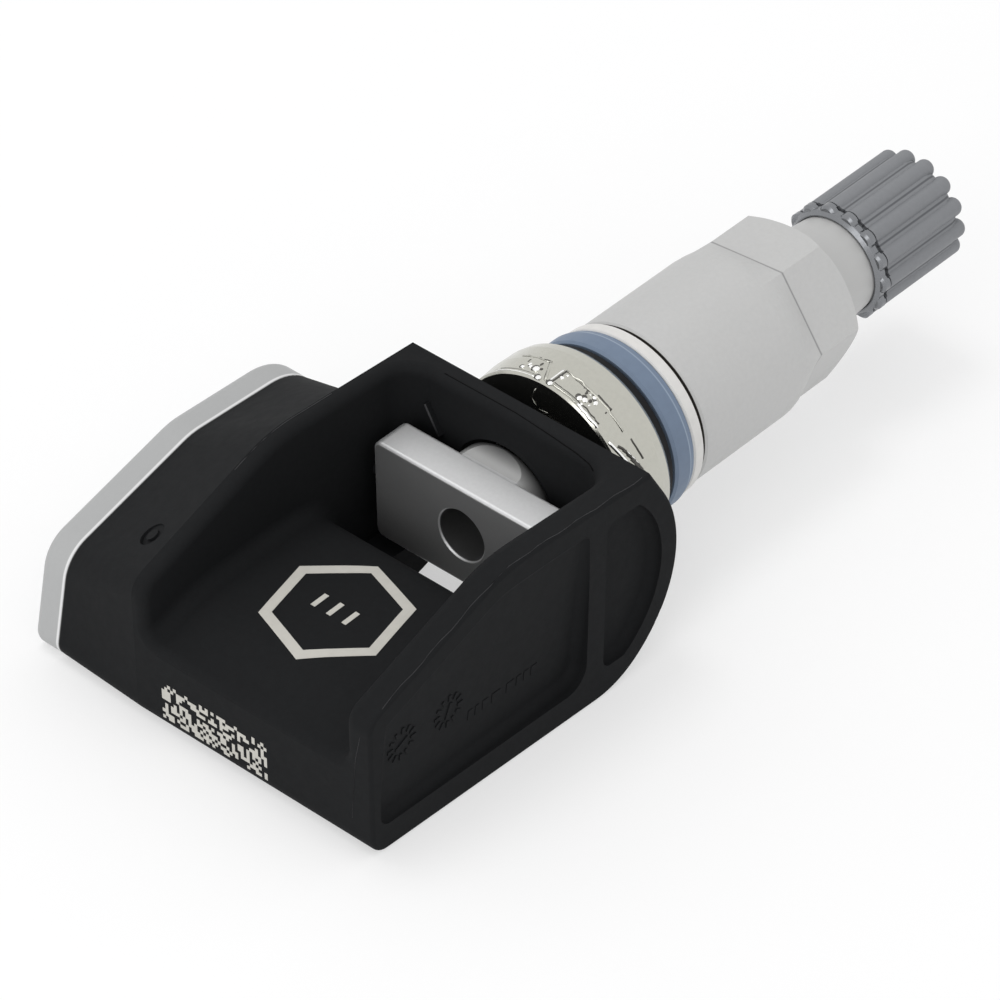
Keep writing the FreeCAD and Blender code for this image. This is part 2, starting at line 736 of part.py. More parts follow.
parts["cap_seal"] = rod(cap_thread_r - 0.1, tube_end_x + 0.42, cap_x1 - 1.52), True

for name, (shape, moving) in parts.items():
    save(name, shape, moving)
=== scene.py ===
import math
import random

import bmesh
import bpy
from mathutils import Matrix, Vector
from mathutils.bvhtree import BVHTree


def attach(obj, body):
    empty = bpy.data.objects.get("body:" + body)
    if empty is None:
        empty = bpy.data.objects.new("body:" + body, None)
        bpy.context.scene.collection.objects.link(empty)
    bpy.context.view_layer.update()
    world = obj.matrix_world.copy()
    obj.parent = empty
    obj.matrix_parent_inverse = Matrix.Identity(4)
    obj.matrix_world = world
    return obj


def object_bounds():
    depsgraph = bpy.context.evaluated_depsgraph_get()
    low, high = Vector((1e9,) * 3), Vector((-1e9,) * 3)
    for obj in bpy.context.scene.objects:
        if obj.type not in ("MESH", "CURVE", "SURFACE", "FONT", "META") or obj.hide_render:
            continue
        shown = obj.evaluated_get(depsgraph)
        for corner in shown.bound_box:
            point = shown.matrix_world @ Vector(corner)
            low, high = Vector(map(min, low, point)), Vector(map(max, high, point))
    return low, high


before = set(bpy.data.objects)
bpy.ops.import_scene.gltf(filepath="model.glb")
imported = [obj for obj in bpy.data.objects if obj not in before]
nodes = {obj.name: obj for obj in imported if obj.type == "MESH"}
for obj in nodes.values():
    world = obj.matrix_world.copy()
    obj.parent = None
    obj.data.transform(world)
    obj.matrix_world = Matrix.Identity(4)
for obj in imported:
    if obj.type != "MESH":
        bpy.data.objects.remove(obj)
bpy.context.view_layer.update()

MM = 0.001

# The foot's pivot in the frame, and the valve's tilt about it
PIVOT = Vector((-13.4472, 0.0, -0.5871)) * MM
TILT = math.radians(2.5)

# Camera, angles in radians
CAMERA_AT = Vector((-276.4547, -233.6608, 274.6793)) * MM
LOOK_AZIMUTH = 0.8492644
LOOK_DOWN = 0.6605100
LOOK_ROLL = 0.0203833
LENS = 223.1

# Light at strengths that make a colour render about as it is written, places and sizes in m
TENT_LIGHT = 0.88
TENT_LOW = (0.86, 0.86, 0.87)
TENT_HIGH = (1.0, 1.0, 1.0)
LAMPS = (
    ("key", (-0.02, 0.22, 0.80), 0.32, 1.0),
    ("fill", (-0.65, -0.12, 0.30), 0.5, 1.0),
)
FLOOR_GLOW = 0.5
FLOOR_COLOUR = (0.97, 0.97, 0.97)
FLOOR_HALF = 3.0

# Stations along the valve and sizes on it, in mm
FOOT_FACE = -1.58
FOOT_END = 1.62
AIR_HOLE_UP = -0.38
AIR_HOLE_R = 2.18
NECK_PAINTED_SHADE = 3.6
FACE_STATION = 7.4
EDGE_STATION = 7.72
EDGE_R = 8.24
BEAD_R = 8.31
BAND_R = 8.36
RING_CHAMFER_HIGHLIGHT = 15.12
NUT_GROOVE = 17.1
HEX_START = 30.6
CAP_BODY_START = 41.3
CAP_RIBS = 14

# The cover's edge beside the housing and the painted highlight along the bevel on it, in mm
COVER_Y = 19.0
COVER_BEVEL_HIGHLIGHT = COVER_Y + 0.28

# Ways to drop a mark on the case, and the heights, sides and stations it drops from, in mm
DOWN, ALONG, INWARD = Vector((0, 0, -1)), Vector((1, 0, 0)), Vector((0, 1, 0))
FROM_FLOOR, FROM_ABOVE, FROM_FRONT, FROM_SIDE = 6, 20, -30, -20

# Thicknesses of the marks, and how far they are sunk, in mm
SUNK = 0.03
BADGE_T = 0.02
PATTERN_T = 0.015
TICK_T = 0.09
DASH_T = 0.05
FLASH_R = 0.026
FAR_FLASH_R = 0.03
RIB_R = 0.1
CREASE_R = 0.045

# Badge on the pocket's floor, in mm and degrees
BADGE_X, BADGE_Y = -14.2, 0.35
BADGE_R = 5.6
BADGE_STROKE = 0.82
BADGE_TURN = 12
BAR_HALF = 0.75
BAR_WIDTH = 0.42
BAR_PITCH = 1.5

# Pattern on the front face, in mm
PATTERN_COLUMNS, PATTERN_ROWS = 36, 11
PATTERN_Y = (8.1, -2.2)
PATTERN_Z = (-5.05, -8.35)
PATTERN_BLANK = 0.45

# Mould dials (x, z, turn of the bar) and dashes (start, width) on the near face, in mm
DIALS = ((-20.9, -1.2, 0.5), (-15.9, -1.4, 1.3))
DIAL_TICKS = 12
DASHES_X, DASHES_Z = -13.6, -3.8
DASH_HEIGHT = 0.85
DASHES = ((0.0, 0.5), (0.8, 0.4), (1.6, 0.6), (2.6, 0.9), (4.2, 0.8), (5.3, 0.5), (6.1, 0.5), (6.9, 0.6))

# Beads near the collar's seam and further round: station, degrees, size
BEADS = (
    (8.2, 71, 0.19), (8.45, 75, 0.16), (8.35, 79.5, 0.31), (7.6, 85.5, 0.24), (7.65, 93, 0.22),
    (8.7, 94.5, 0.2), (9.15, 95.5, 0.16), (8.2, 109.5, 0.22), (8.4, 112, 0.26), (9.15, 114, 0.2),
    (8.9, 116.5, 0.19),
)
SMALL_BEADS = 26

# Ridges on the collar: kind, start and end as (station, degrees, r), radius, steps, waver
SEAMS = (
    # Seam in the shape of a Y, and the edge of the raised band, in dark lines of painted shade and bright ones of
    # painted highlight beside the plain nickel
    ("dull", (EDGE_STATION, 89.5, 8.22), (9.6, 82, BAND_R), 0.1, 6, 0.0),
    ("dark", (EDGE_STATION, 88.3, 8.2), (9.6, 81, BAND_R - 0.01), 0.06, 6, 0.0),
    ("bright", (EDGE_STATION, 91, 8.22), (9.4, 91.5, BAND_R), 0.09, 6, 0.0),
    ("dark", (EDGE_STATION, 92.4, 8.22), (9.4, 93.2, BAND_R), 0.09, 6, 0.0),
    ("dull", (9.6, 62, BAND_R), (9.5, 82, BAND_R), 0.07, 8, 0.08),
    ("dark", (9.66, 64, BAND_R), (9.58, 81, BAND_R), 0.045, 8, 0.08),
    ("dull", (9.4, 93, BAND_R), (9.3, 136, BAND_R), 0.1, 16, 0.07),
    ("dark", (9.3, 96, BAND_R - 0.01), (9.2, 110, BAND_R - 0.01), 0.045, 6, 0.06),
    ("dark", (9.45, 114, BAND_R), (9.5, 124, BAND_R), 0.11, 6, 0.06),
    # Double edge of the face, in bright lines of painted highlight beside dark lines of painted shade, bright and
    # wavy further round
    ("bright", (EDGE_STATION, 54, EDGE_R), (EDGE_STATION - 0.1, 84, EDGE_R - 0.04), 0.06, 8, 0.0),
    ("dark", (EDGE_STATION + 0.24, 56, EDGE_R + 0.01), (EDGE_STATION + 0.1, 84, EDGE_R - 0.02), 0.05, 8, 0.03),
    ("dull", (EDGE_STATION, 93, EDGE_R), (EDGE_STATION, 111, EDGE_R), 0.09, 8, 0.04),
    ("dark", (EDGE_STATION + 0.26, 94, EDGE_R + 0.01), (EDGE_STATION + 0.2, 112, EDGE_R + 0.01), 0.05, 8, 0.03),
    ("bright", (EDGE_STATION, 111, EDGE_R), (EDGE_STATION - 0.05, 127, EDGE_R), 0.14, 7, 0.07),
    ("dark", (EDGE_STATION + 0.3, 112, EDGE_R + 0.01), (EDGE_STATION + 0.2, 126, EDGE_R + 0.01), 0.07, 7, 0.05),
    ("bright", (EDGE_STATION, 136, EDGE_R), (8.55, 154.5, EDGE_R + 0.06), 0.17, 8, 0.0),
)
# Thin loop left on the collar's dark face: degrees, r
LOOP = ((84.5, 7.4), (79.5, 6.5), (81.5, 6.1), (86.5, 5.6), (94, 5.7))
LOOP_R = 0.05
SCRATCHES = 6

# Colours are linear. Each look is a name, a colour, a roughness and what else its maker takes
BLACK = (0.0112, 0.0117, 0.0125)
METALS = {
    "collar": ("collar_nickel", (0.51, 0.505, 0.455), 0.2, 1.0, 0.08, 1500.0),
    # Brighter and darker copies of the collar's nickel, for painted highlight and painted shade on its casting
    # marks
    "glint": ("cast_glint", (0.95, 0.95, 0.93), 0.15, 1.0, 0.05),
    "tarnish": ("cast_tarnish", (0.09, 0.086, 0.078), 0.35, 0.6, 0.05),
    "brass": ("core_brass", (0.75, 0.56, 0.28), 0.3),
    "steel": ("cell_steel", (0.6, 0.6, 0.6), 0.25, 1.0, 0.05),
    "copper": ("coil_copper", (0.7, 0.32, 0.18), 0.3),
}
POLYMERS = {
    "rubber": ("seal_rubber", (0.012, 0.012, 0.013), 0.6, 0.1),
    "white": ("ring_white", (0.70, 0.69, 0.67), 0.45, 0.2),
    "print": ("pale_print", (0.56, 0.545, 0.50), 0.6, 0.1),
    # Flash is a lighter copy of the black moulding, painted highlight on thin ridges; crease a darker copy,
    # painted shade in a crease
    "flash": ("mould_flash", (0.04, 0.04, 0.042), 0.5, 0.15),
    "crease": ("mould_crease", (0.003, 0.003, 0.003), 0.6, 0.05),
    "board": ("board_green", (0.02, 0.14, 0.05), 0.4),
    "chip": ("chip_black", (0.015, 0.015, 0.016), 0.5),
    "capacitor": ("capacitor_tan", (0.4, 0.28, 0.16), 0.4),
    "ferrite": ("ferrite_grey", (0.04, 0.04, 0.045), 0.5),
    "red": ("core_seal_red", (0.45, 0.04, 0.03), 0.5),
    "membrane": ("membrane_white", (0.75, 0.75, 0.74), 0.7),
}
NODE_MATERIALS = {
    "housing": "black", "side_cover": "grey", "cover_gasket": "rubber", "vent_membrane": "membrane",
    "circuit_board": "board", "battery_cell": "steel", "battery_tab_upper": "steel", "battery_tab_lower": "steel",
    "controller_chip": "chip", "pressure_chip": "chip", "crystal": "steel", "capacitor_row": "capacitor",
    "antenna_core": "ferrite", "antenna_coil": "copper", "valve_stem": "foot", "collar": "collar",
    "rim_seal": "rubber", "spacer_ring": "blue", "thrust_washer": "white", "valve_nut": "nut",
    "valve_cap": "cap", "cap_seal": "rubber", "core_body": "brass", "core_gasket": "red", "core_pin": "brass",
    "core_cup": "brass", "core_spring": "steel",
}


# Places

def at(x, y, z):
    """A point given in mm from the foot's pivot, in the frame."""
    return PIVOT + Vector((x, y, z)) * MM


def valve_frame():
    """Matrix that takes mm along the valve, across and up into the frame."""
    turn = Matrix.Rotation(-TILT, 4, "Y")
    return Matrix.Translation(PIVOT) @ turn @ Matrix.Scale(MM, 4)


# Camera, light and floor

def add_camera():
    down, side = math.cos(LOOK_DOWN), math.sin(LOOK_DOWN)
    ahead = Vector((down * math.sin(LOOK_AZIMUTH), down * math.cos(LOOK_AZIMUTH), -side))
    right = ahead.cross(Vector((0, 0, 1))).normalized()
    up = right.cross(ahead)
    c, s = math.cos(LOOK_ROLL), math.sin(LOOK_ROLL)
    x_axis = right * c + up * s
    y_axis = up * c - right * s
    data = bpy.data.cameras.new("camera")
    data.lens = LENS
    data.sensor_width = 36.0
    data.clip_start = 0.01
    data.clip_end = 20.0
    camera = bpy.data.objects.new("camera", data)
    basis = Matrix((x_axis, y_axis, -ahead)).transposed().to_4x4()
    camera.matrix_world = Matrix.Translation(CAMERA_AT) @ basis
    bpy.context.scene.collection.objects.link(camera)
    bpy.context.scene.camera = camera


def area_light(name, place, size, power):
    """Round lamp that looks at the frame's origin."""
    data = bpy.data.lights.new(name, "AREA")
    data.shape = "DISK"
    data.size = size
    data.energy = power
    lamp = bpy.data.objects.new(name, data)
    lamp.location = place
    lamp.rotation_euler = (-Vector(place)).to_track_quat("-Z", "Y").to_euler()
    bpy.context.scene.collection.objects.link(lamp)


def seen_directly(tree):
    """1 for camera, glossy and transmitted rays, 0 for those that light the object."""
    rays = tree.nodes.new("ShaderNodeLightPath").outputs
    both = maths(tree, "MAXIMUM", rays["Is Camera Ray"], rays["Is Glossy Ray"])
    return maths(tree, "MAXIMUM", both, rays["Is Transmission Ray"])


def add_studio():
    """White tent all round, with one soft lamp overhead and one at the side."""
    world = bpy.data.worlds.new("studio")
    bpy.context.scene.world = world
    world.use_nodes = True
    tree = world.node_tree
    tree.nodes.clear()
    out = tree.nodes.new("ShaderNodeOutputWorld")
    mix = tree.nodes.new("ShaderNodeMixShader")
    seen = tree.nodes.new("ShaderNodeBackground")
    seen.inputs["Color"].default_value = (1, 1, 1, 1)
    seen.inputs["Strength"].default_value = 1.0
    lit = tree.nodes.new("ShaderNodeBackground")
    lit.inputs["Strength"].default_value = TENT_LIGHT
    sky = tree.nodes.new("ShaderNodeTexCoord")
    split = tree.nodes.new("ShaderNodeSeparateXYZ")
    tree.links.new(sky.outputs["Generated"], split.inputs[0])
    ramp = ramp_node(tree, split.outputs["Z"], TENT_LOW, TENT_HIGH, 0.0, 1.0)
    tree.links.new(ramp.outputs["Color"], lit.inputs["Color"])
    tree.links.new(seen_directly(tree), mix.inputs["Fac"])
    tree.links.new(lit.outputs[0], mix.inputs[1])
    tree.links.new(seen.outputs[0], mix.inputs[2])
    tree.links.new(mix.outputs[0], out.inputs["Surface"])
    for lamp in LAMPS:
        area_light(*lamp)


def add_floor():
    """White paper that takes the shadow softly, as in a lit tent."""
    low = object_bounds()[0][2]
    mesh = bpy.data.meshes.new("floor")
    half = FLOOR_HALF
    corners = [(-half, -half, low), (half, -half, low), (half, half, low), (-half, half, low)]
    mesh.from_pydata(corners, [], [(0, 1, 2, 3)])
    floor = bpy.data.objects.new("floor", mesh)
    bpy.context.scene.collection.objects.link(floor)
    mat, tree, bsdf = principled("floor_paper", FLOOR_COLOUR, 0.9, 0.0, 0.0)
    speckle(tree, bsdf, FLOOR_COLOUR, 0.005, 60.0)
    glow = tree.nodes.new("ShaderNodeEmission")
    glow.inputs["Color"].default_value = (1, 1, 1, 1)
    glow.inputs["Strength"].default_value = 1.0
    mix = tree.nodes.new("ShaderNodeMixShader")
    tree.links.new(maths(tree, "MULTIPLY", seen_directly(tree), FLOOR_GLOW), mix.inputs["Fac"])
    tree.links.new(bsdf.outputs[0], mix.inputs[1])
    tree.links.new(glow.outputs[0], mix.inputs[2])
    tree.links.new(mix.outputs[0], tree.nodes["Material Output"].inputs["Surface"])
    mesh.materials.append(mat)


# Shader nodes

def principled(name, colour, roughness, metallic=0.0, specular=0.5):
    mat = bpy.data.materials.new(name)
    mat.use_nodes = True
    tree = mat.node_tree
    bsdf = tree.nodes["Principled BSDF"]
    bsdf.inputs["Base Color"].default_value = (*colour, 1)
    bsdf.inputs["Roughness"].default_value = roughness
    bsdf.inputs["Metallic"].default_value = metallic
    bsdf.inputs["Specular IOR Level"].default_value = specular
    return mat, tree, bsdf


def noise_node(tree, scale, detail=3.0, rough=0.5):
    """Noise on object coordinates, in 1/m."""
    place = tree.nodes.new("ShaderNodeTexCoord")
    tex = tree.nodes.new("ShaderNodeTexNoise")
    tex.inputs["Scale"].default_value = scale
    tex.inputs["Detail"].default_value = detail
    tex.inputs["Roughness"].default_value = rough
    tree.links.new(place.outputs["Object"], tex.inputs["Vector"])
    return tex


def ramp_node(tree, source, low, high, start=0.3, end=0.7):
    ramp = tree.nodes.new("ShaderNodeValToRGB")
    ramp.color_ramp.elements[0].position = start
    ramp.color_ramp.elements[0].color = (*low, 1)
    ramp.color_ramp.elements[1].position = end
    ramp.color_ramp.elements[1].color = (*high, 1)
    tree.links.new(source, ramp.inputs["Fac"])
    return ramp


def map_range(tree, value, source, target):
    """A value carried from one range to another, clamped at its ends."""
    node = tree.nodes.new("ShaderNodeMapRange")
    for name, number in zip(("From Min", "From Max", "To Min", "To Max"), (*source, *target)):
        node.inputs[name].default_value = number
    tree.links.new(value, node.inputs["Value"])
    return node.outputs["Result"]


def maths(tree, operation, a, b=0.0):
    """One maths node on two sockets or numbers."""
    node = tree.nodes.new("ShaderNodeMath")
    node.operation = operation
    for socket, value in zip(node.inputs, (a, b)):
        if isinstance(value, (int, float)):
            socket.default_value = value
        else:
            tree.links.new(value, socket)
    return node.outputs[0]


def valve_axes(tree):
    """Station, across and up in mm on the valve's own axes."""
    place = tree.nodes.new("ShaderNodeTexCoord")
    turn = tree.nodes.new("ShaderNodeVectorRotate")
    turn.rotation_type = "Y_AXIS"
    turn.inputs["Center"].default_value = PIVOT
    turn.inputs["Angle"].default_value = TILT
    tree.links.new(place.outputs["Object"], turn.inputs["Vector"])
    shift = tree.nodes.new("ShaderNodeVectorMath")
    shift.operation = "SUBTRACT"
    shift.inputs[1].default_value = PIVOT
    tree.links.new(turn.outputs[0], shift.inputs[0])
    scale = tree.nodes.new("ShaderNodeVectorMath")
    scale.operation = "SCALE"
    scale.inputs["Scale"].default_value = 1 / MM
    tree.links.new(shift.outputs[0], scale.inputs[0])
    split = tree.nodes.new("ShaderNodeSeparateXYZ")
    tree.links.new(scale.outputs[0], split.inputs[0])
    return split.outputs


# What the nodes do to a material

def speckle(tree, bsdf, colour, spread, scale):
    """Soft mottling of the base colour."""
    tex = noise_node(tree, scale, 4.0)
    low = [max(c * (1 - spread), 0) for c in colour]
    high = [min(c * (1 + spread), 1) for c in colour]
    ramp = ramp_node(tree, tex.outputs["Fac"], low, high)
    tree.links.new(ramp.outputs["Color"], bsdf.inputs["Base Color"])


def vary_roughness(tree, bsdf, low, high, scale):
    tex = noise_node(tree, scale)
    tree.links.new(map_range(tree, tex.outputs["Fac"], (0.3, 0.7), (low, high)), bsdf.inputs["Roughness"])


def grain(tree, bsdf, scale, strength, depth):
    """Fine surface texture as bump, depth in metres."""
    tex = noise_node(tree, scale, 2.0, 0.6)
    bump = tree.nodes.new("ShaderNodeBump")
    bump.inputs["Strength"].default_value = strength
    bump.inputs["Distance"].default_value = depth
    tree.links.new(tex.outputs["Fac"], bump.inputs["Height"])
    tree.links.new(bump.outputs["Normal"], bsdf.inputs["Normal"])


def overlay(tree, bsdf, mask, colour):
    """Another colour where the mask is 1."""
    mix = tree.nodes.new("ShaderNodeMix")
    mix.data_type = "RGBA"
    tree.links.new(mask, mix.inputs[0])
    tree.links.new(bsdf.inputs["Base Color"].links[0].from_socket, mix.inputs[6])
    mix.inputs[7].default_value = (*colour, 1)
    tree.links.new(mix.outputs[2], bsdf.inputs["Base Color"])


def line_mask(tree, value, centre, half, soft):
    """1 within half of the centre, falling to 0 over the soft width."""
    off = maths(tree, "ABSOLUTE", maths(tree, "SUBTRACT", value, centre))
    return map_range(tree, off, (half, half + soft), (1.0, 0.0))


def paint_line(tree, bsdf, value, centre, half, soft, colour):
    """A line of another colour where the value is near its centre."""
    overlay(tree, bsdf, line_mask(tree, value, centre, half, soft), colour)


# Materials

def moulded(name, colour, roughness, specular, texture=0.25, mottle=0.05):
    """Spark-textured moulded plastic."""
    mat, tree, bsdf = principled(name, colour, roughness, 0.0, specular)
    speckle(tree, bsdf, colour, mottle, 2600.0)
    vary_roughness(tree, bsdf, roughness - 0.03, roughness + 0.03, 1200.0)
    grain(tree, bsdf, 5200.0, texture, 0.00003)
    return mat, tree, bsdf


def satin_metal(name, colour, roughness, metallic=1.0, texture=0.2, scale=4200.0):
    """Blasted and plated metal, with a fine tooth of the given scale."""
    mat, tree, bsdf = principled(name, colour, roughness, metallic)
    speckle(tree, bsdf, colour, 0.02, 3000.0)
    vary_roughness(tree, bsdf, roughness - 0.03, roughness + 0.03, 2400.0)
    grain(tree, bsdf, scale, texture, 0.00002)
    return mat, tree, bsdf


def soft_polymer(name, colour, roughness, specular=0.4):
    """Rubber, print and other smooth polymers."""
    mat, tree, bsdf = principled(name, colour, roughness, 0.0, specular)
    speckle(tree, bsdf, colour, 0.03, 1500.0)
    vary_roughness(tree, bsdf, roughness - 0.04, roughness + 0.06, 1200.0)
    grain(tree, bsdf, 3000.0, 0.08, 0.00002)
    return mat, tree, bsdf


def cover_grey():
    """Pale moulding with a painted highlight line along its bevel and a dark joint beside the housing."""
    mat, tree, bsdf = moulded("grey_moulding", (0.41, 0.414, 0.414), 0.5, 0.2, 0.1, 0.01)
    place = tree.nodes.new("ShaderNodeTexCoord")
    split = tree.nodes.new("ShaderNodeSeparateXYZ")
    tree.links.new(place.outputs["Object"], split.inputs[0])
    across = maths(tree, "DIVIDE", split.outputs["Y"], MM)
    # Painted highlight: a bright line of colour along the bevel
    paint_line(tree, bsdf, across, COVER_BEVEL_HIGHLIGHT, 0.06, 0.08, (0.72, 0.72, 0.72))
    paint_line(tree, bsdf, across, COVER_Y, 0.1, 0.05, (0.03, 0.03, 0.03))
    return mat


def stem_metal():
    """Bright blasted foot with painted shade on its front face, in its air hole and on the neck, and a duller
    plated tube.
    """
    metallic, tube_metallic = 0.8, 0.3
    mat, tree, bsdf = satin_metal("stem_metal", (0.67, 0.672, 0.675), 0.5, metallic)
    station, across, up = valve_axes(tree)
    # Painted shade: the front face gets a darker colour than the rest of the same metal
    overlay(tree, bsdf, maths(tree, "LESS_THAN", station, FOOT_FACE), (0.36, 0.361, 0.363))
    # Painted shade inside the air hole
    lift = maths(tree, "SUBTRACT", up, AIR_HOLE_UP)
    squares = [maths(tree, "POWER", side, 2.0) for side in (across, lift)]
    reach = maths(tree, "SQRT", maths(tree, "ADD", *squares))
    overlay(tree, bsdf, maths(tree, "LESS_THAN", reach, AIR_HOLE_R), (0.16, 0.16, 0.16))
    tube = maths(tree, "GREATER_THAN", station, FOOT_END)
    overlay(tree, bsdf, tube, (0.50, 0.50, 0.495))
    # Painted shade: the neck darkens towards the slot in the back wall
    paint_line(tree, bsdf, station, NECK_PAINTED_SHADE, 0.5, 1.4, (0.05, 0.05, 0.05))
    loss = maths(tree, "MULTIPLY", tube, metallic - tube_metallic)
    tree.links.new(maths(tree, "SUBTRACT", metallic, loss), bsdf.inputs["Metallic"])
    return mat


def nut_metal():
    """Matt nut with painted shade in its groove, and a fine line of painted shade where its hexagon starts."""
    mat, tree, bsdf = satin_metal("nut_metal", (0.52, 0.52, 0.515), 0.55, 0.25)
    station = valve_axes(tree)[0]
    # Painted shade: a fine dark line along the crease where the hexagon starts
    paint_line(tree, bsdf, station, HEX_START, 0.05, 0.07, (0.3, 0.3, 0.3))
    # Painted shade inside the groove
    paint_line(tree, bsdf, station, NUT_GROOVE, 0.2, 0.02, (0.04, 0.035, 0.03))
    return mat


def blue_polymer():
    """Blue-grey ring with a painted highlight line on its chamfer."""
    mat, tree, bsdf = soft_polymer("ring_blue", (0.165, 0.215, 0.295), 0.45, 0.2)
    station = valve_axes(tree)[0]
    # Painted highlight along the chamfer's edge
    paint_line(tree, bsdf, station, RING_CHAMFER_HIGHLIGHT, 0.04, 0.06, (0.27, 0.33, 0.42))
    return mat


def cap_metal():
    """Grey cap with a fine line of painted shade down each valley and a shinier lip."""
    metallic, lip_metallic = 0.4, 0.95
    lip_smoother = 0.3
    mat, tree, bsdf = satin_metal("cap_metal", (0.222, 0.229, 0.241), 0.55, metallic)
    station, across, up = valve_axes(tree)
    turn = maths(tree, "DIVIDE", maths(tree, "ARCTAN2", up, across), 2 * math.pi / CAP_RIBS)
    # Painted shade: a fine dark line down the middle of each valley
    groove = line_mask(tree, maths(tree, "FRACT", turn), 0.5, 0.022, 0.035)
    body = maths(tree, "GREATER_THAN", station, CAP_BODY_START)
    overlay(tree, bsdf, maths(tree, "MULTIPLY", groove, body), (0.105, 0.109, 0.118))
    lip = maths(tree, "SUBTRACT", 1.0, body)
    rough = bsdf.inputs["Roughness"].links[0].from_socket
    smoother = maths(tree, "MULTIPLY", lip, lip_smoother)
    tree.links.new(maths(tree, "SUBTRACT", rough, smoother), bsdf.inputs["Roughness"])
    gain = maths(tree, "MULTIPLY", lip, lip_metallic - metallic)
    tree.links.new(maths(tree, "ADD", metallic, gain), bsdf.inputs["Metallic"])
    return mat


def make_materials():
    made = {
        "grey": cover_grey(), "nut": nut_metal(), "foot": stem_metal(), "blue": blue_polymer(), "cap": cap_metal(),
        "black": moulded("black_moulding", BLACK, 0.75, 0.085)[0],
    }
    for key, look in METALS.items():
        made[key] = satin_metal(*look)[0]
    for key, look in POLYMERS.items():
        made[key] = soft_polymer(*look)[0]
    return made


def dress_nodes(materials):
    for name, key in NODE_MATERIALS.items():
        mesh = nodes[name].data
        mesh.materials.clear()
        mesh.materials.append(materials[key])


# Tools for the marks

class Skin:
    """A node's surface, for laying thin marks on it."""

    def __init__(self, node):
        mesh = nodes[node].data
        self.tree = BVHTree.FromPolygons([v.co.copy() for v in mesh.vertices],
                                         [tuple(p.vertices) for p in mesh.polygons])

    def drop(self, point, way):
        """The first place that the surface has on the way from a point."""
        return self.tree.ray_cast(point, way)[0]


def add_piece(name, bm, body, material, smooth=False):
    bmesh.ops.recalc_face_normals(bm, faces=bm.faces)
    mesh = bpy.data.meshes.new(name)
    bm.to_mesh(mesh)
    bm.free()
    for face in mesh.polygons:
        face.use_smooth = smooth
    mesh.materials.append(material)
    piece = bpy.data.objects.new(name, mesh)
    bpy.context.scene.collection.objects.link(piece)
    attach(piece, body)


def raised_patch(bm, skin, grid, way, height):
    """A thin slab, height in mm, whose top and bottom follow the surface under a grid of points."""
    rise, sink = -way * (height * MM), way * (SUNK * MM)
    top, low = [], []
    for row in grid:
        top.append([])
        low.append([])
        for point in row:
            hit = skin.drop(point, way)
            top[-1].append(bm.verts.new(hit + rise))
            low[-1].append(bm.verts.new(hit + sink))
    for i in range(len(grid) - 1):
        for j in range(len(grid[0]) - 1):
            bm.faces.new((top[i][j], top[i][j + 1], top[i + 1][j + 1], top[i + 1][j]))
            bm.faces.new((low[i][j], low[i + 1][j], low[i + 1][j + 1], low[i][j + 1]))
    rim_top, rim_low = [
        side[0] + [row[-1] for row in side[1:]] + side[-1][-2::-1] + [row[0] for row in side[-2:0:-1]]
        for side in (top, low)
    ]
    for k in range(len(rim_top)):
        n = (k + 1) % len(rim_top)
        bm.faces.new((rim_top[k], rim_low[k], rim_low[n], rim_top[n]))


def strip_grid(a, b, left_a, left_b, steps):
    """Points of a strip from edge a..left_a to edge b..left_b."""
    grid = []
    for i in range(steps + 1):
        t = i / steps
        grid.append([a.lerp(b, t), left_a.lerp(left_b, t)])
    return grid


def ridge(bm, points, radius, sides=6):
    """Thin closed tube, radius in mm, through a few points."""
    rings = []
    for i, point in enumerate(points):
        before, after = points[max(i - 1, 0)], points[min(i + 1, len(points) - 1)]
        along = (after - before).normalized()
        side = along.orthogonal().normalized()
        other = along.cross(side)
        ring = []
        for k in range(sides):
            a = 2 * math.pi * k / sides
            ring.append(bm.verts.new(point + (side * math.cos(a) + other * math.sin(a)) * (radius * MM)))
        rings.append(ring)
    for low, high in zip(rings, rings[1:]):
        start = min(range(sides), key=lambda k: (high[k].co - low[0].co).length)
        for k in range(sides):
            n = (k + 1) % sides
            bm.faces.new((low[k], low[n], high[(start + n) % sides], high[(start + k) % sides]))
    bm.faces.new(rings[0])
    bm.faces.new(rings[-1])


# Marks laid on the case

def add_badge(skin, materials):
    """Plain pale hexagon outline with three bars on the pocket's floor."""
    bm = bmesh.new()
    inner = BADGE_R - BADGE_STROKE / math.cos(math.radians(30))
    for k in range(6):
        ends = [math.radians(BADGE_TURN) + math.radians(60 * n) for n in (k, k + 1)]
        corners = [at(BADGE_X + r * math.cos(a), BADGE_Y + r * math.sin(a), FROM_FLOOR)
                   for r in (BADGE_R, inner) for a in ends]
        raised_patch(bm, skin, strip_grid(*corners, 12), DOWN, BADGE_T)
    side = Vector((0, BAR_WIDTH * MM, 0))
    for k in range(3):
        y = BADGE_Y + BAR_PITCH * (1 - k)
        a, b = at(BADGE_X - BAR_HALF, y, FROM_FLOOR), at(BADGE_X + BAR_HALF, y, FROM_FLOOR)
        raised_patch(bm, skin, strip_grid(a, b, a + side, b + side, 4), DOWN, BADGE_T)
    add_piece("floor_badge", bm, "sensor_case", materials["print"])


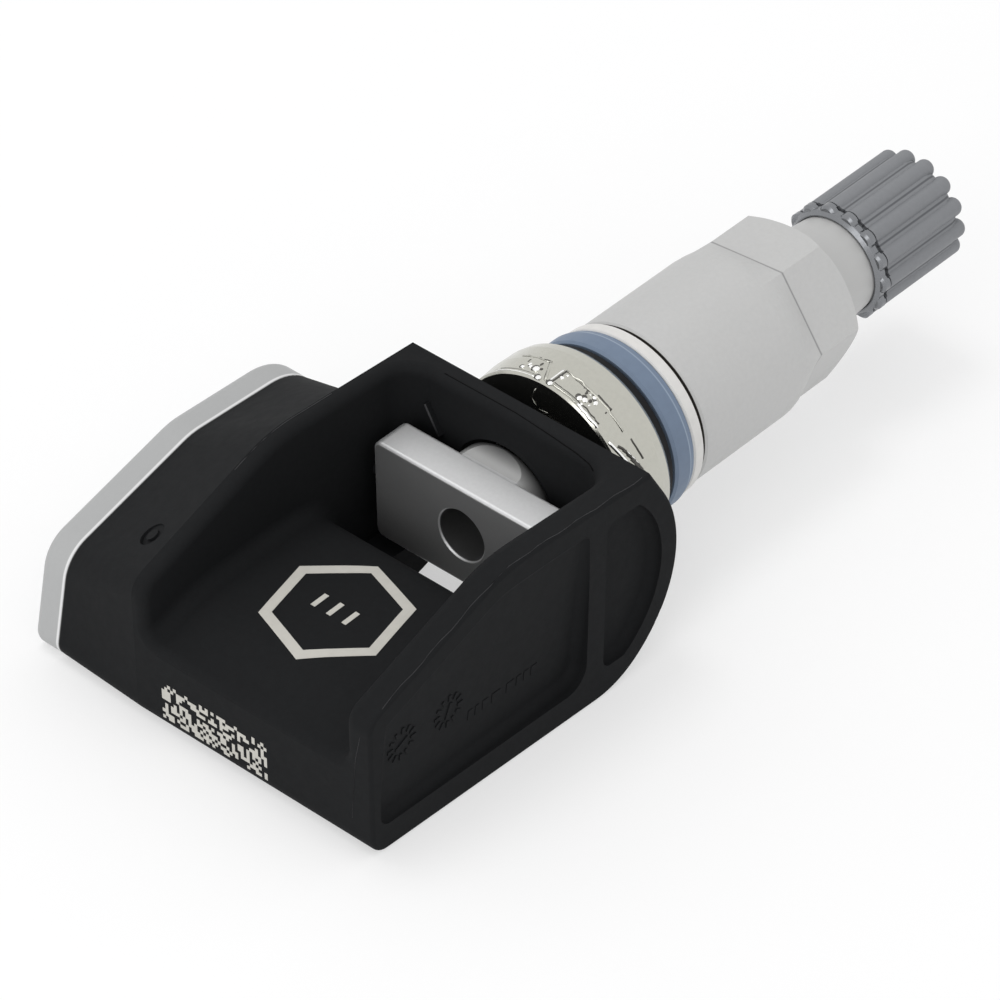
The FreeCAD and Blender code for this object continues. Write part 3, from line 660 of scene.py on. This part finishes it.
def add_pattern(skin, materials):
    """Generic field of small pale blocks on the front face."""
    rng = random.Random(7)
    y0, z0 = PATTERN_Y[0], PATTERN_Z[0]
    cell_y = (PATTERN_Y[1] - y0) / PATTERN_COLUMNS
    cell_z = (PATTERN_Z[1] - z0) / PATTERN_ROWS
    bm = bmesh.new()
    for row in range(PATTERN_ROWS):
        col = 0
        while col < PATTERN_COLUMNS:
            if rng.random() < PATTERN_BLANK:
                col += 1
                continue
            last = min(col + rng.choice((1, 1, 2, 3)), PATTERN_COLUMNS)
            sides = [y0 + cell_y * n for n in (col, last)]
            grid = [[at(FROM_FRONT, y, z0 + cell_z * n) for y in sides] for n in (row, row + 1)]
            raised_patch(bm, skin, grid, ALONG, PATTERN_T)
            col = last + 1
    add_piece("front_pattern", bm, "sensor_case", materials["print"])


def add_dials(skin, materials):
    """Two mould dials with plain ticks and a bar, and a row of dashes."""
    bm = bmesh.new()

    def tick(cx, cz, ang, r0, r1, width):
        u = Vector((math.cos(ang), 0, math.sin(ang))) * MM
        v = Vector((-math.sin(ang), 0, math.cos(ang))) * MM * width / 2
        c = at(cx, FROM_SIDE, cz)
        a, b = c + u * r0, c + u * r1
        raised_patch(bm, skin, [[a - v, a + v], [b - v, b + v]], INWARD, TICK_T)

    for cx, cz, turn in DIALS:
        for k in range(DIAL_TICKS):
            tick(cx, cz, 2 * math.pi * k / DIAL_TICKS, 0.95, 1.5, 0.26)
        tick(cx, cz, turn, -0.7, 0.7, 0.3)
    for start, width in DASHES:
        x = DASHES_X + start
        z = DASHES_Z - 0.03 * start
        grid = [[at(end, FROM_SIDE, z), at(end, FROM_SIDE, z + DASH_HEIGHT)] for end in (x, x + width)]
        raised_patch(bm, skin, grid, INWARD, DASH_T)
    add_piece("mould_dials", bm, "sensor_case", materials["black"])


def add_mould_lines(skin, materials):
    """Flash line on the near cheek, light edge on the far one and rib on the back wall, lighter than the moulding
    as painted highlight, and a crease on the back wall darker than it as painted shade.
    """
    bm = bmesh.new()
    corner = ((-10.4, -6.9), (-10.9, -1.2), (-11.4, 1.1))
    flash = [skin.drop(at(FROM_FRONT, y, z), ALONG) for y, z in corner]
    flash += [skin.drop(at(x, -12.1 + 0.06 * math.sin(1.7 * x), FROM_ABOVE), DOWN) for x in range(-23, 5)]
    ridge(bm, flash, FLASH_R)
    ridge(bm, [skin.drop(at(x, 10.52, FROM_ABOVE), DOWN) for x in range(-14, -3)], FAR_FLASH_R)
    ridge(bm, [at(2.55, 6.0, 3.1), at(2.55, 7.4, 5.3)], RIB_R)
    add_piece("mould_flash", bm, "sensor_case", materials["flash"], smooth=True)
    bm = bmesh.new()
    crease = ((3.55, 6.4), (3.55, 4.5), (3.55, 2.0), (3.55, -0.5),
              (3.35, -3.7), (3.15, -6.7), (3.0, -8.0), (2.75, -8.6))
    ridge(bm, [skin.drop(at(x, y, FROM_ABOVE), DOWN) for x, y in crease], CREASE_R)
    add_piece("mould_crease", bm, "sensor_case", materials["crease"], smooth=True)


# Marks of casting on the collar

def add_cast_marks(materials):
    """Seam, beads of metal and scratches where the collar's two dies met; bright pieces are a brighter copy of the
    nickel as painted highlight, dark pieces a dark copy as painted shade.
    """
    axes = valve_frame()
    rng = random.Random(3)
    marks = {kind: bmesh.new() for kind in ("bright", "dull", "dark")}

    def spot(station, degrees, r):
        a = math.radians(degrees)
        return axes @ Vector((station, r * math.cos(a), r * math.sin(a)))

    def line(kind, start, end, radius, steps, waver):
        """Ridge between two places (station, degrees, r)."""
        path = []
        for i in range(steps + 1):
            t = i / steps
            place = [p + (q - p) * t for p, q in zip(start, end)]
            place[0] += waver * rng.uniform(-1, 1)
            path.append(spot(*place))
        ridge(marks[kind], path, radius)

    def bead(kind, station, degrees, r, size, long):
        turn = Matrix.Rotation(-TILT, 4, "Y") @ Matrix.Rotation(math.radians(degrees), 4, "X")
        shape = Matrix.Diagonal((size * long, size * 0.6, size, 1))
        place = Matrix.Translation(spot(station, degrees, r)) @ turn @ shape
        bmesh.ops.create_icosphere(marks[kind], subdivisions=2, radius=MM, matrix=place)

    for station, degrees, size in BEADS:
        # Beside each bead a dark bead of painted shade, and the bead itself in painted highlight
        bead("dark", station + 0.1, degrees - 1.4, BEAD_R - 0.04, size, 1.25)
        bead("bright", station, degrees, BEAD_R, size, rng.uniform(0.8, 1.3))
    # Small beads, some in painted highlight and more in painted shade
    for _ in range(SMALL_BEADS):
        degrees = rng.choice((rng.gauss(76, 4), rng.gauss(112, 4.5)))
        kind = rng.choice(("bright", "dark", "dark"))
        bead(kind, rng.uniform(7.9, 9.2), degrees, BEAD_R, rng.uniform(0.07, 0.15), rng.uniform(0.8, 1.8))
    for seam in SEAMS:
        line(*seam)
    ridge(marks["dull"], [spot(FACE_STATION, degrees, r) for degrees, r in LOOP], LOOP_R)
    # Scratches above the near end, each a dark ridge of painted shade beside a bright one of painted highlight
    for k in range(SCRATCHES):
        start = 140.5 + 3.1 * k
        line("dark", (8.3 + 0.16 * k, start, 8.31), (8.85 + 0.18 * k, start + 8, 8.36), 0.11, 4, 0.05)
        line("bright", (8.5 + 0.16 * k, start + 2, 8.32), (8.9 + 0.16 * k, start + 7, 8.36), 0.07, 4, 0.04)
    line("dark", (9.5, 141, BAND_R), (9.75, 153, BAND_R + 0.01), 0.08, 5, 0.03)
    add_piece("cast_highlight_marks", marks["bright"], "valve", materials["glint"], smooth=True)
    add_piece("cast_seams", marks["dull"], "valve", materials["collar"], smooth=True)
    add_piece("cast_shade_marks", marks["dark"], "valve", materials["tarnish"], smooth=True)


def main():
    add_camera()
    add_studio()
    add_floor()
    materials = make_materials()
    dress_nodes(materials)
    skin = Skin("housing")
    add_badge(skin, materials)
    add_pattern(skin, materials)
    add_dials(skin, materials)
    add_mould_lines(skin, materials)
    add_cast_marks(materials)
    bpy.context.scene.view_settings.view_transform = "Standard"


main()
